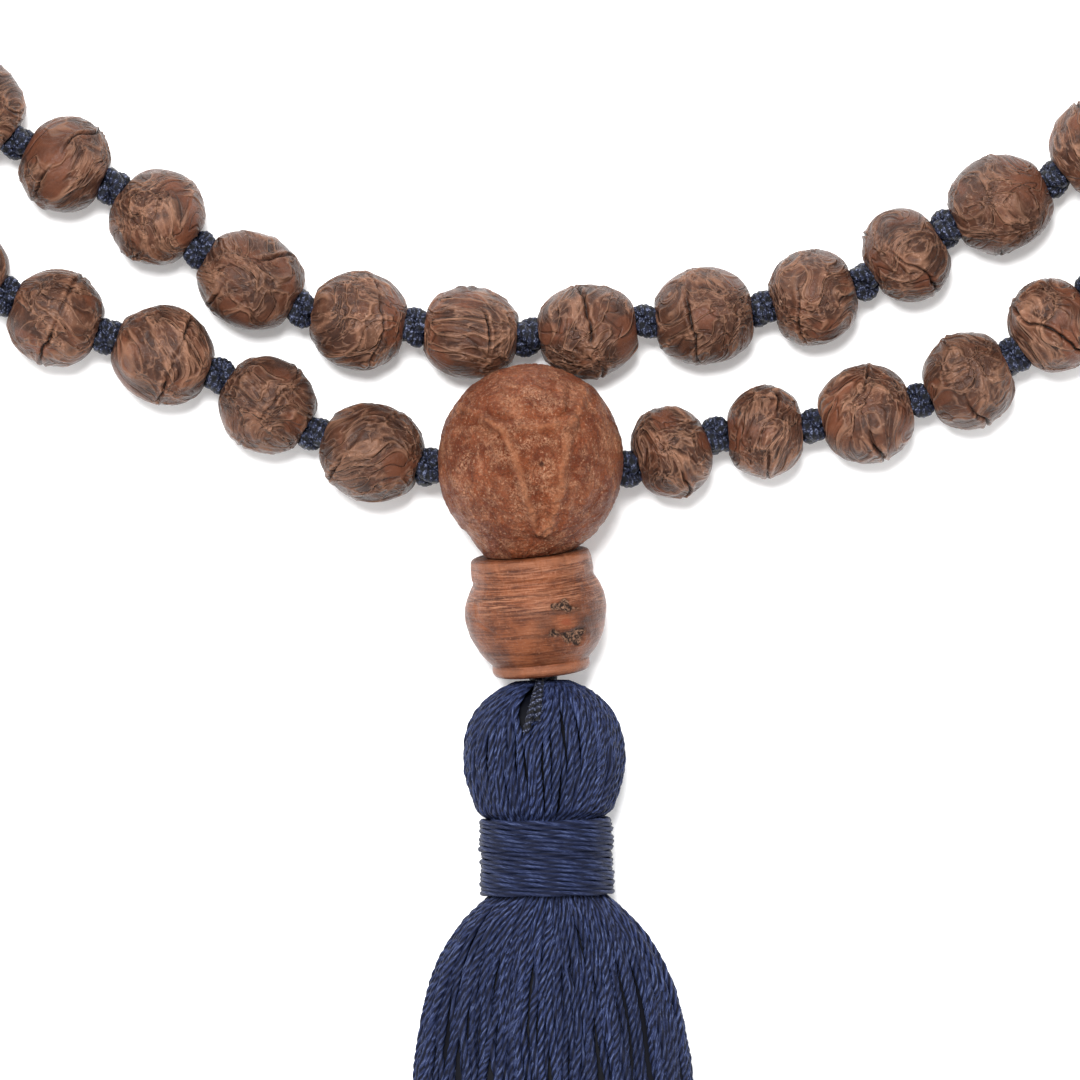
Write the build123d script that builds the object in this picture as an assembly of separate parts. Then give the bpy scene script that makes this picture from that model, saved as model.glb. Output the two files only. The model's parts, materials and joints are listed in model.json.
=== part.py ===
"""Mala of 108 seed beads with a guru bead, a turned barrel bead and a cotton tassel.

It lies flat on a table as a closed loop that is folded back on itself, so that two strands run side by side.
+Z is up, and the table is at z = 0. The origin is on the table, right under the centre of the guru bead.
+X is to the right, and the tassel points along -Y. Sizes are in millimetres.
"""

import math
import os

from build123d import *

# Seed beads. Each seed's own length and width are these, times its pair of factors below.
bead_length = 8.7
bead_diameter = 9.0
bead_bore_clearance = 0.45
dimple_radius = 1.75
dimple_depth = 0.5
# A seed's side bulges to this share of its radius at this share of its half length.
shoulder_radius = 0.86
shoulder_place = 0.55

# Knotted string.
string_radius = 0.5
knot_gap = 1.45
knot_radius = 1.3
knot_nest = 0.2
knot_end_wall = 0.25
knot_clearance = 0.06

# Guru bead.
guru_radius = 8.5
guru_crown = 8.6
guru_foot = 8.5
guru_foot_radius = 4.05
guru_side_bore_clearance = 0.45
guru_mouth_clearance = 0.2
guru_bulge_radius = 0.85
guru_bulge_place = 0.58
core_knot_radius = 1.5
core_knot_length = 2.6
core_clearance = 0.25

# Barrel bead, and the cord that hangs from the guru bead through it.
barrel_height = 11.1
barrel_rim_radius = 5.55
barrel_rim_height = 2.3
barrel_rim_round = 0.5
barrel_rim_flare = 0.15
barrel_groove_depth = 0.2
barrel_belly_radius = 6.45
barrel_belly_place = 4.6
barrel_neck_radius = 4.55
barrel_foot_radius = 4.4
barrel_foot_height = 1.2
barrel_foot_bevel = 0.5
barrel_dish_radius = 4.65
barrel_dish_depth = 0.6
barrel_seat_gap = 0.3
barrel_lean = 5.7
hanger_bend = 40
hanger_radius = 1.0
hanger_bore_clearance = 0.25
hanger_knot_radius = 1.35
hanger_knot_band = 1.2
hanger_knot_clearance = 0.15
hanger_knot_drop = 0.3
hanger_end_gap = 0.05

# Tassel. Widths are across the table and thicknesses are upwards: soft yarn lies a little flat.
tassel_turn = 1.3
head_gap = 0.65
head_length = 12.1
head_width = 15.0
head_thickness = 13.0
head_fullest = 0.57
head_waist = 0.4
neck_length = 7.1
neck_width = 10.8
neck_thickness = 10.2
wrap_thickness = 0.75
skirt_length = 60.0
skirt_width = 34.0
skirt_thickness = 12.0
skirt_table_gap = 0.4
tie_radius = 0.9
tie_length = 5.0
# How far along the skirt each oval is, and its width and thickness, as shares of the skirt's own.
SKIRT_OVALS = [
    (0.05, 0.52, 0.94), (0.13, 0.65, 0.97), (0.3, 0.78, 1.0),
    (0.6, 0.91, 0.97), (0.87, 0.98, 0.92), (1, 1, 0.85),
]

# The seeds at the guru bead's left, those in the middle of the loop, those at its right, and all the others,
# which repeat. Each pair is a seed's length and its width, as factors of bead_length and bead_diameter.
FIRST_SEEDS = [(1.10, 1.03), (1.01, 1.02), (1.08, 1.04), (0.99, 1.02), (0.98, 1.0)]
MIDDLE_SEEDS = [
    (1.00, 1.03), (0.93, 1.02), (0.97, 1.04), (1.09, 1.02), (1.03, 1.03), (1.04, 0.97),
    (1.09, 0.99), (1.07, 1.02), (0.94, 1.03), (0.87, 1.03), (1.08, 1.04), (1.00, 1.02),
]
LAST_SEEDS = [(0.98, 1.02), (0.91, 1.03), (0.93, 1.03), (1.00, 1.04), (0.85, 0.97), (0.86, 0.99)]
OTHER_SEEDS = [
    (1.00, 1.00), (0.97, 1.02), (1.04, 0.98), (0.99, 1.01), (1.02, 1.03), (0.96, 0.99), (1.02, 0.98),
]
bead_count = 108

# The string's route as seen from above, from the guru bead's left to its right: out along the left arm, round
# its end, back past the guru bead's crown, and the same on the right.
OUT_LEFT = [
    (-19.9, 2.0), (-28.5, 7.7), (-38.8, 11.3), (-48.4, 14.5), (-58.5, 22), (-73, 36), (-89, 62), (-100, 98),
    (-104, 139), (-102, 181), (-98.5, 212), (-84, 224), (-65.5, 223), (-53, 209.5), (-54, 181), (-60, 142),
]
# These are measured from the line where the inner strand's beads touch the guru bead.
INNER = [
    (-67, 91.8), (-69, 56.8), (-64, 35.8), (-56, 23.8), (-46.8, 16.1), (-37.8, 12.7), (-30.2, 6.4),
    (-20.7, 0.7), (-10.3, -0.5), (0.2, -1.5), (11.0, 0.2), (21.7, 1.1), (31.0, 3.7), (38.4, 9.0),
    (48.5, 13.0), (58, 21.3), (66, 35.8), (71, 60.8), (71, 96.8),
]
OUT_RIGHT = [
    (66, 146), (61, 177), (59.5, 203), (72, 217), (90.5, 218.5), (105.5, 206.5), (107, 177), (107.5, 140),
    (103.5, 102), (92, 65), (76, 37), (62.5, 23), (51.2, 15.0), (44.3, 8.7), (35.5, 5.1), (25.7, 2.5),
    (16.9, 2.3),
]
# Where the first knots stand, outside the guru bead, and how the string falls from its core to the first
# seeds.
left_knot_stand = 0.8
right_knot_stand = 0.3
string_exit_y = -1.2
string_exit_rise = 1.0
string_core_y = -1.5
string_core_drop = 1.3

# The seeds that have a node and a joint of their own, by number from the guru bead's left, how many of the
# others share a node, and in how many stretches the knots are.
own_nodes = [*range(1, 10), *range(46, 64), *range(100, 109)]
group_size = 18
knot_stretches = 9


def seed_sizes():
    """Length and diameter of each seed, from the guru bead's left round the loop to its right."""
    middle_start = (bead_count - len(MIDDLE_SEEDS)) // 2
    factors = [OTHER_SEEDS[i % len(OTHER_SEEDS)] for i in range(bead_count)]
    factors[:len(FIRST_SEEDS)] = FIRST_SEEDS
    factors[middle_start:middle_start + len(MIDDLE_SEEDS)] = MIDDLE_SEEDS
    factors[-len(LAST_SEEDS):] = LAST_SEEDS
    return [(bead_length * length, bead_diameter * width) for length, width in factors]


seeds = seed_sizes()
bead_bore_radius = string_radius + bead_bore_clearance
string_height = max(width for length, width in seeds) / 2
guru_centre = Vector(0, 0, guru_radius)
core = guru_centre + Vector(0, string_core_y, -string_core_drop)
# In plan, how far from the guru bead's centre a seed's centre is when both lie on the table and touch.
inner_rest = 2 * math.sqrt(guru_radius * bead_diameter / 2)


def route(scale):
    """The string's points, with the loop scaled about the guru bead and its ends held by the guru bead."""
    loop = [(x * scale, y * scale) for x, y in OUT_LEFT]
    loop += [(x * scale, inner_rest + y * scale) for x, y in INNER]
    loop += [(x * scale, y * scale) for x, y in OUT_RIGHT]
    side = Vector(core_knot_length / 2, 0, 0)
    exit_height = string_height + string_exit_rise
    start = [core - side, Vector(-guru_radius - left_knot_stand, string_exit_y, exit_height)]
    end = [Vector(guru_radius + right_knot_stand, string_exit_y, exit_height), core + side]
    return start + [Vector(x, y, string_height) for x, y in loop] + end


# How much of a straight run each of its two corner arcs may take up.
ARC_SHARE = 0.45


def corner_radii(points):
    """The radius of the arc at each inner point, as large as its two runs allow."""
    radii = []
    for before, here, after in zip(points, points[1:], points[2:]):
        run = min((here - before).length, (after - here).length)
        half_turn = math.radians((here - before).get_angle(after - here)) / 2
        radii.append(ARC_SHARE * run / math.tan(half_turn))
    return radii


def route_length(points):
    """Length of the route once its corners are arcs."""
    total = sum((b - a).length for a, b in zip(points, points[1:]))
    for before, here, after, radius in zip(points, points[1:], points[2:], corner_radii(points)):
        turn = math.radians((here - before).get_angle(after - here))
        total -= radius * (2 * math.tan(turn / 2) - turn)
    return total


def strung_scale():
    """The scale at which the route is as long as its seeds, knots and ends."""
    points = route(1)
    ends = (points[1] - points[0]).length + (points[-1] - points[-2]).length
    wanted = ends + sum(length + knot_gap for length, width in seeds)
    scale = 1.0
    for step in range(6):
        scale += (wanted - route_length(route(scale))) / (route_length(route(1)) - ends)
    return scale


loop_scale = strung_scale()
string_points = route(loop_scale)
string_radii = corner_radii(string_points)
string_path = FilletPolyline(*string_points, radius=string_radii)
string_length = string_path.length
print("loop scale", round(loop_scale, 5), "string length", round(string_length, 1))
print("string radii", [round(r, 1) for r in string_radii])


def on_string(distance):
    return string_path.position_at(distance, position_mode=PositionMode.LENGTH)


def seat(start, end):
    """A location centred on the stretch of string from start to end, with Z along its chord."""
    first, last = on_string(start), on_string(end)
    centre = ((first + last) / 2 + on_string((start + end) / 2)) / 2
    return Plane(origin=centre, x_dir=Vector(0, 0, 1), z_dir=last - first).location


def tube(path, radius):
    """A round cord along a path."""
    section = Plane(origin=path @ 0, z_dir=path % 0) * Circle(radius)
    return sweep(section, path=path)


def seed(length, diameter):
    """A seed bead round its bore along Z, with a dimple at each mouth for the knot."""
    half = length / 2
    floor = half - dimple_depth
    shoulder = (diameter / 2 * shoulder_radius, half * shoulder_place)
    with BuildPart() as bead:
        with BuildSketch(Plane.XZ):
            with BuildLine():
                Spline(
                    (dimple_radius, -half),
                    (shoulder[0], -shoulder[1]),
                    (diameter / 2, 0),
                    shoulder,
                    (dimple_radius, half),
                )
                Line((dimple_radius, half), (bead_bore_radius, floor))
                Line((bead_bore_radius, floor), (bead_bore_radius, -floor))
                Line((bead_bore_radius, -floor), (dimple_radius, -half))
            make_face()
        revolve(axis=Axis.Z)
    return bead.part


def knot():
    """A string knot, thickest at its middle, round the string along Z."""
    half = knot_gap / 2 + knot_nest
    hole = string_radius + knot_clearance
    end_radius = hole + knot_end_wall
    with BuildPart() as lump:
        with BuildSketch(Plane.XZ):
            with BuildLine():
                Spline((end_radius, -half), (knot_radius, 0), (end_radius, half))
                Line((end_radius, half), (hole, half))
                Line((hole, half), (hole, -half))
                Line((hole, -half), (end_radius, -half))
            make_face()
        revolve(axis=Axis.Z)
    return lump.part


def strung():
    """Where each seed and each knot sits: two lists in order from the guru bead's left."""
    at = (string_points[1] - string_points[0]).length
    half_knot = knot_gap / 2
    knots = [seat(at - half_knot, at + half_knot)]
    beads = []
    for length, width in seeds:
        start = at + half_knot
        beads.append(seat(start, start + length))
        at = start + length + half_knot
        knots.append(seat(at - half_knot, at + half_knot))
    return beads, knots


bead_places, knot_places = strung()
beads = [place * seed(*size) for place, size in zip(bead_places, seeds)]
plain_knot = knot()
knots = [place * plain_knot for place in knot_places]
string = tube(string_path, string_radius)
nominal = math.pi * string_radius**2 * string_length
print("string volume", round(string.volume, 2), "section times length", round(nominal, 2))


# The pendant's line runs from the guru bead's centre down to the tassel, whose head rests on the table.
pendant_length = guru_foot + barrel_seat_gap + barrel_height + hanger_knot_drop
pendant_slope = math.degrees(math.asin((guru_radius - head_thickness / 2) / pendant_length))


def direction(turn, slope):
    """Unit vector that points along -Y, turned towards +X and sloped down, in degrees."""
    flat = math.cos(math.radians(slope))
    x = math.sin(math.radians(turn)) * flat
    y = -math.cos(math.radians(turn)) * flat
    return Vector(x, y, -math.sin(math.radians(slope)))


guru_axis = direction(0, pendant_slope)
barrel_axis = direction(barrel_lean, pendant_slope)
tassel_axis = direction(tassel_turn, 0)
barrel_top = guru_centre + guru_axis * (guru_foot + barrel_seat_gap)
barrel_end = barrel_top + barrel_axis * barrel_height
pivot = barrel_end + barrel_axis * hanger_knot_drop
print("pivot", pivot)


def lathe_place(origin, axis):
    """A location whose Z runs along the pendant and whose X is level."""
    level = axis.cross(Vector(0, 0, 1))
    return Plane(origin=origin, x_dir=level, z_dir=axis).location


hanger_start = core - Vector(0, core_knot_radius / 2, 0)
hanger_end = pivot - barrel_axis * (hanger_knot_radius + hanger_end_gap)
hanger_path = FilletPolyline(hanger_start, barrel_top, hanger_end, radius=hanger_bend)
hanger_cord = tube(hanger_path, hanger_radius)

# The knot inside the guru bead, where both ends of the string meet the hanger cord.
core_knot = Plane(origin=core, z_dir=(1, 0, 0)).location * Cylinder(core_knot_radius, core_knot_length)
core_knot -= hanger_cord


def guru_bead():
    """A seed that is round above and tapers to a flat foot. Its two side bores meet the one in its foot."""
    with BuildPart() as body:
        with BuildSketch(Plane.XZ):
            with BuildLine():
                crown_shoulder = (guru_radius * math.sqrt(0.5), -guru_crown * math.sqrt(0.5))
                ThreePointArc((0, -guru_crown), crown_shoulder, (guru_radius, 0))
                bulge = (guru_radius * guru_bulge_radius, guru_foot * guru_bulge_place)
                ThreePointArc((guru_radius, 0), bulge, (guru_foot_radius, guru_foot))
                Line((guru_foot_radius, guru_foot), (0, guru_foot))
                Line((0, guru_foot), (0, -guru_crown))
            make_face()
        revolve(axis=Axis.Z)
    guru = lathe_place(guru_centre, guru_axis) * body.part
    for inner, outer in ((string_points[0], string_points[1]), (string_points[-1], string_points[-2])):
        way = (outer - inner).normalized()
        bore = Plane(origin=inner + way * (guru_radius / 2), z_dir=way).location
        guru -= bore * Cylinder(string_radius + guru_side_bore_clearance, guru_radius)
    for place in (knot_places[0], knot_places[-1]):
        guru -= place * Sphere(knot_radius + guru_mouth_clearance)
    chamber_radius = core_knot_radius + core_clearance
    chamber = Plane(origin=core, z_dir=(1, 0, 0)).location * Cylinder(
        chamber_radius, core_knot_length + 2 * core_clearance
    )
    foot_bore = FilletPolyline(core, barrel_top, hanger_end, radius=hanger_bend)
    guru -= chamber
    guru -= tube(foot_bore, hanger_radius + hanger_bore_clearance)
    return guru


def barrel_bead():
    """A bead turned on a lathe: a flat rim with a groove below it, a full belly, a neck and a foot ring."""
    groove = barrel_rim_height
    neck = barrel_height - barrel_foot_height
    bore = hanger_radius + hanger_bore_clearance
    with BuildPart() as body:
        with BuildSketch(Plane.XZ):
            with BuildLine():
                Polyline(
                    (bore, barrel_dish_depth),
                    (barrel_dish_radius - barrel_dish_depth, barrel_dish_depth),
                    (barrel_dish_radius, 0),
                    (barrel_rim_radius - barrel_rim_round, 0),
                )
                RadiusArc(
                    (barrel_rim_radius - barrel_rim_round, 0),
                    (barrel_rim_radius, barrel_rim_round),
                    barrel_rim_round,
                )
                Polyline(
                    (barrel_rim_radius, barrel_rim_round),
                    (barrel_rim_radius + barrel_rim_flare, groove - 2 * barrel_groove_depth),
                    (barrel_rim_radius - barrel_groove_depth, groove),
                )
                Spline(
                    (barrel_rim_radius - barrel_groove_depth, groove),
                    (barrel_belly_radius, barrel_belly_place),
                    (barrel_neck_radius, neck),
                    tangents=[(0.8, 0.5), (-0.55, 1.0)],
                )
                Polyline(
                    (barrel_neck_radius, neck),
                    (barrel_foot_radius, neck + barrel_groove_depth),
                    (barrel_foot_radius, barrel_height - barrel_foot_bevel),
                    (barrel_foot_radius - barrel_foot_bevel, barrel_height),
                    (bore, barrel_height),
                    (bore, barrel_dish_depth),
                )
            make_face()
        revolve(axis=Axis.Z)
    bead = lathe_place(barrel_top, barrel_axis) * body.part
    return bead - Pos(pivot) * Sphere(hanger_knot_radius + hanger_knot_clearance)


def tassel_plane(along, drop=0):
    """A plane across the tassel at a distance from the pivot: X is level and Y is upwards."""
    level = tassel_axis.cross(Vector(0, 0, 1))
    return Plane(origin=pivot + tassel_axis * along - Vector(0, 0, drop), x_dir=level, z_dir=tassel_axis)


def oval_bar(start, length, width, thickness):
    """A straight oval bar along the tassel."""
    return extrude(tassel_plane(start) * Ellipse(width / 2, thickness / 2), length)


head_start = head_gap
neck_start = head_start + head_length
skirt_start = neck_start + neck_length


def tassel_head():
    """The bulb of folded yarn, with a hollow for the hanger knot and a hole for the tie."""
    bulb_half = head_length * head_fullest
    neck = neck_width / 2 + wrap_thickness
    with BuildPart() as body:
        with BuildSketch(Plane.XZ):
            with BuildLine():
                ThreePointArc(
                    (0, 0),
                    (head_width / 2 * math.sqrt(0.5), bulb_half * (1 - math.sqrt(0.5))),
                    (head_width / 2, bulb_half),
                )
                ThreePointArc(
                    (head_width / 2, bulb_half),
                    ((head_width / 2 + neck) / 2 + head_waist, (bulb_half + head_length) / 2),
                    (neck, head_length),
                )
                Line((neck, head_length), (0, head_length))
                Line((0, head_length), (0, 0))
            make_face()
        revolve(axis=Axis.Z)
    flattened = scale(body.part, by=(1, head_thickness / head_width, 1))
    head = tassel_plane(head_start).location * flattened
    head -= Pos(pivot) * Sphere(hanger_knot_radius + hanger_knot_clearance)
    return head - tie_bar()


def tie_bar():
    """The tie that holds the folded yarn to the hanger knot."""
    bar = tassel_plane(0).location * Cylinder(
        tie_radius, head_start + tie_length, align=(Align.CENTER, Align.CENTER, Align.MIN)
    )
    return bar - Pos(pivot) * Sphere(hanger_knot_radius + hanger_knot_clearance)


def tassel_skirt():
    """The free yarn ends as one solid that spreads and lies on the table."""
    ovals = [tassel_plane(skirt_start) * Ellipse(neck_width / 2, neck_thickness / 2)]
    for along, width, thickness in SKIRT_OVALS:
        half_width = skirt_width * width / 2
        half_thickness = skirt_thickness * thickness / 2
        drop = pivot.Z - half_thickness - skirt_table_gap
        place = tassel_plane(skirt_start + skirt_length * along, drop)
        ovals.append(place * Ellipse(half_width, half_thickness))
    return loft(Sketch() + ovals)


neck_bundle = oval_bar(neck_start, neck_length, neck_width, neck_thickness)
wrap_band = (
    oval_bar(neck_start, neck_length, neck_width + 2 * wrap_thickness, neck_thickness + 2 * wrap_thickness)
    - neck_bundle
)

# The hanger knot has a round band about each line that it turns about: upright for the swing, level for
# the lift.
hanger_knot = Sphere(hanger_knot_radius)
for band_axis in (Vector(0, 0, 1), tassel_plane(0).x_dir):
    band = Cylinder(hanger_knot_band, 2 * hanger_knot_radius)
    hanger_knot &= Plane(origin=(0, 0, 0), z_dir=band_axis).location * band
hanger_knot = Pos(pivot) * hanger_knot

nodes = {
    "string": string,
    "guru_bead": guru_bead(),
    "guru_core_knot": core_knot,
    "hanger_cord": hanger_cord,
    "barrel_bead": barrel_bead(),
    "hanger_knot": hanger_knot,
    "tassel_tie": tie_bar(),
    "tassel_head": tassel_head(),
    "tassel_neck": neck_bundle,
    "tassel_wrap": wrap_band,
    "tassel_skirt": tassel_skirt(),
}
for number in own_nodes:
    nodes[f"bead_{number:03d}"] = beads[number - 1]

# The other seeds, a stretch of the loop to each node.
shared = [n for n in range(1, bead_count + 1) if n not in own_nodes]
stretch = []
for number in shared:
    stretch.append(number)
    if len(stretch) == group_size or number + 1 not in shared:
        name = f"beads_{stretch[0]:03d}_to_{stretch[-1]:03d}"
        nodes[name] = Compound(children=[beads[n - 1] for n in stretch])
        stretch = []

# The knots, a stretch of the loop to each node. They are small, so each stretch is short enough for a mesh
# whose detail follows the node's size.
knots_each = len(knots) / knot_stretches
for index in range(knot_stretches):
    first = round(index * knots_each)
    last = round((index + 1) * knots_each)
    nodes[f"knots_{first + 1:03d}_to_{last:03d}"] = Compound(children=knots[first:last])

os.makedirs("parts", exist_ok=True)
for name, shape in nodes.items():
    export_step(shape, f"parts/{name}.step")
print(len(nodes), "nodes")
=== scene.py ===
"""The looks of the mala: wrinkled seeds, cord knots, a guru bead, a turned barrel bead and a cotton tassel.

Blender's units are metres, in the frame's own axes. Shapes are worked out in millimetres, and turned into
metres where a mesh is made.
"""

import json
import math

import bmesh
import bpy
import numpy as np
from mathutils import Matrix, Vector


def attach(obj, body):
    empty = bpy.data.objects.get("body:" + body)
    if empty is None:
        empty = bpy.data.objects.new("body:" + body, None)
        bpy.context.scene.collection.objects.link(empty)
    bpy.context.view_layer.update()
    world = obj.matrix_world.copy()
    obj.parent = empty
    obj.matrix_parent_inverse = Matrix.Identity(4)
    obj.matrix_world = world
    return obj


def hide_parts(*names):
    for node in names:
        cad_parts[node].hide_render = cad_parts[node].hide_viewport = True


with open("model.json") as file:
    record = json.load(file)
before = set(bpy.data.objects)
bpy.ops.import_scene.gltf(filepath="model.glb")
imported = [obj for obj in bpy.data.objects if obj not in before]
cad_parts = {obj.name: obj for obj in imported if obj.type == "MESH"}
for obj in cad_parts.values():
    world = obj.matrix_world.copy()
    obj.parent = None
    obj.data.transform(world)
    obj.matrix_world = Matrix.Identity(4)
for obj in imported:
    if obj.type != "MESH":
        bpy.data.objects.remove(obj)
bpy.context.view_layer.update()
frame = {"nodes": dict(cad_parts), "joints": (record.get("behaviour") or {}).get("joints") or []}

MM = 0.001
joints = {joint["name"]: joint for joint in frame["joints"]}


# ---------------- camera, light and floor

# The studio is bright enough to hold the shadows on the floor pale, so colours are this much darker.
LIGHT_LEVEL = 1.9
VIEW_WIDTH = 99.1
VIEW_CENTRE = (0.92, -7.53, 4.7)
CAMERA_HEIGHT = 1200.0
SENSOR = 36.0
SKY_STRENGTH = 0.95
# The key light's place and the width of its disk are in metres.
KEY_PLACE = Vector((-0.12, 0.34, 1.32))
KEY_WIDTH = 0.42
KEY_POWER = 36
FLOOR_WIDTH = 6
FLOOR_TONE = 0.94
FLOOR_GLOW = 0.1


def add_camera():
    data = bpy.data.cameras.new("camera")
    data.sensor_width = SENSOR
    data.lens = SENSOR * CAMERA_HEIGHT / VIEW_WIDTH
    camera = bpy.data.objects.new("camera", data)
    camera.location = (Vector(VIEW_CENTRE) + Vector((0, 0, CAMERA_HEIGHT))) * MM
    bpy.context.collection.objects.link(camera)
    bpy.context.scene.camera = camera


def add_key_light():
    data = bpy.data.lights.new("key", "AREA")
    data.shape = "DISK"
    data.size = KEY_WIDTH
    data.energy = KEY_POWER
    light = bpy.data.objects.new("key", data)
    light.location = KEY_PLACE
    light.rotation_euler = (-KEY_PLACE).to_track_quat("-Z", "Y").to_euler()
    bpy.context.collection.objects.link(light)


def add_world():
    world = bpy.data.worlds.new("studio")
    world.use_nodes = True
    background = world.node_tree.nodes["Background"]
    background.inputs["Color"].default_value = (1, 1, 1, 1)
    background.inputs["Strength"].default_value = SKY_STRENGTH
    bpy.context.scene.world = world


def add_floor():
    bpy.ops.mesh.primitive_plane_add(size=FLOOR_WIDTH)
    floor = bpy.context.active_object
    floor.name = "floor"
    shader = bpy.data.materials.new("floor_white")
    shader.use_nodes = True
    inputs = shader.node_tree.nodes["Principled BSDF"].inputs
    inputs["Base Color"].default_value = (FLOOR_TONE, FLOOR_TONE, FLOOR_TONE, 1)
    inputs["Roughness"].default_value = 0.9
    inputs["Specular IOR Level"].default_value = 0.0
    inputs["Emission Color"].default_value = (1, 1, 1, 1)
    inputs["Emission Strength"].default_value = FLOOR_GLOW
    floor.data.materials.append(shader)


bpy.context.scene.view_settings.view_transform = "Standard"
add_camera()
add_world()
add_key_light()
add_floor()


# ---------------- the string, on the CAD model's route

STRING_HEIGHT = 4.68
STRING_DIAMETER = 1.0
INNER_REST = 12.37
OUT_LEFT = [
    (-19.9, 2.0), (-28.5, 7.7), (-38.8, 11.3), (-48.4, 14.5), (-58.5, 22), (-73, 36), (-89, 62), (-100, 98),
    (-104, 139), (-102, 181), (-98.5, 212), (-84, 224), (-65.5, 223), (-53, 209.5), (-54, 181), (-60, 142),
]
# These are measured from the line where the inner strand's beads touch the guru bead.
INNER = [
    (-67, 91.8), (-69, 56.8), (-64, 35.8), (-56, 23.8), (-46.8, 16.1), (-37.8, 12.7), (-30.2, 6.4),
    (-20.7, 0.7), (-10.3, -0.5), (0.2, -1.5), (11.0, 0.2), (21.7, 1.1), (31.0, 3.7), (38.4, 9.0),
    (48.5, 13.0), (58, 21.3), (66, 35.8), (71, 60.8), (71, 96.8),
]
OUT_RIGHT = [
    (66, 146), (61, 177), (59.5, 203), (72, 217), (90.5, 218.5), (105.5, 206.5), (107, 177), (107.5, 140),
    (103.5, 102), (92, 65), (76, 37), (62.5, 23), (51.2, 15.0), (44.3, 8.7), (35.5, 5.1), (25.7, 2.5),
    (16.9, 2.3),
]
LEFT_MOUTH = (-9.3, -1.2, 5.68)
RIGHT_MOUTH = (8.8, -1.2, 5.68)
route = [(-1.3, -1.5, 7.2), LEFT_MOUTH]
route += [(x, y, STRING_HEIGHT) for x, y in OUT_LEFT]
route += [(x, INNER_REST + y, STRING_HEIGHT) for x, y in INNER]
route += [(x, y, STRING_HEIGHT) for x, y in OUT_RIGHT]
route += [RIGHT_MOUTH, (1.3, -1.5, 7.2)]


def string_curve():
    """The string as one smooth NURBS spline, and the points along it, in millimetres."""
    data = bpy.data.curves.new("string", "CURVE")
    data.dimensions = "3D"
    spline = data.splines.new("NURBS")
    spline.points.add(len(route) - 1)
    for point, place in zip(spline.points, route):
        point.co = (*(Vector(place) * MM), 1)
    spline.order_u = 3
    spline.use_endpoint_u = True
    spline.resolution_u = 12
    curve = bpy.data.objects.new("string_cord", data)
    bpy.context.collection.objects.link(curve)
    line = bpy.data.meshes.new_from_object(curve)
    points = np.array([vertex.co for vertex in line.vertices]) / MM
    data.bevel_depth = STRING_DIAMETER / 2 * MM
    data.bevel_resolution = 4
    return curve, points


string, string_line = string_curve()
string_way = np.gradient(string_line, axis=0)
string_way /= np.linalg.norm(string_way, axis=1, keepdims=True)


def way_of_string(place):
    """The string's direction where it is nearest to a place."""
    nearest = np.linalg.norm(string_line - np.array(place), axis=1).argmin()
    return Vector(string_way[nearest])


# ---------------- noise, grids and meshes

# How many cells the noise has along each axis before it repeats.
NOISE_CELLS = 24
# The lowest that any point may lie over the table, in millimetres.
TABLE_GAP = 0.02


def noise(points, cell, seed):
    """Smooth noise from -1 to 1 at points in millimetres, with lumps about as large as a cell."""
    table = np.random.default_rng(seed).uniform(-1, 1, (NOISE_CELLS,) * 3)
    scaled = points / cell
    corner = np.floor(scaled).astype(int)
    part = scaled - corner
    part = part * part * (3 - 2 * part)
    total = np.zeros(points.shape[:-1])
    for step in np.ndindex(2, 2, 2):
        weight = np.prod(np.where(np.array(step) == 1, part, 1 - part), axis=-1)
        i, j, k = np.moveaxis((corner + step) % NOISE_CELLS, -1, 0)
        total += table[i, j, k] * weight
    return total


def veins(points, cell, seed, width=0.35):
    """Thin winding ridges, from 0 to 1."""
    return np.clip(1 - np.abs(noise(points, cell, seed)) / width, 0, 1) ** 1.5


def smoothstep(value, low, high):
    part = np.clip((value - low) / (high - low), 0, 1)
    return part * part * (3 - 2 * part)


def bump(distance, width):
    return np.exp(-((distance / width) ** 2))


def unit(vectors):
    return vectors / np.linalg.norm(vectors, axis=-1, keepdims=True)


def grid_faces(rows, columns, closed):
    """Quads over a grid of rings. Columns run round each, and closed joins the last ring to the first."""
    row = np.arange(rows if closed else rows - 1)[:, None]
    column = np.arange(columns)[None, :]
    next_row = (row + 1) % rows
    next_column = (column + 1) % columns
    row, next_row = row * columns, next_row * columns
    corners = np.broadcast_arrays(row + column, row + next_column, next_row + next_column, next_row + column)
    return np.stack(corners, axis=-1).reshape(-1, 4)


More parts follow.
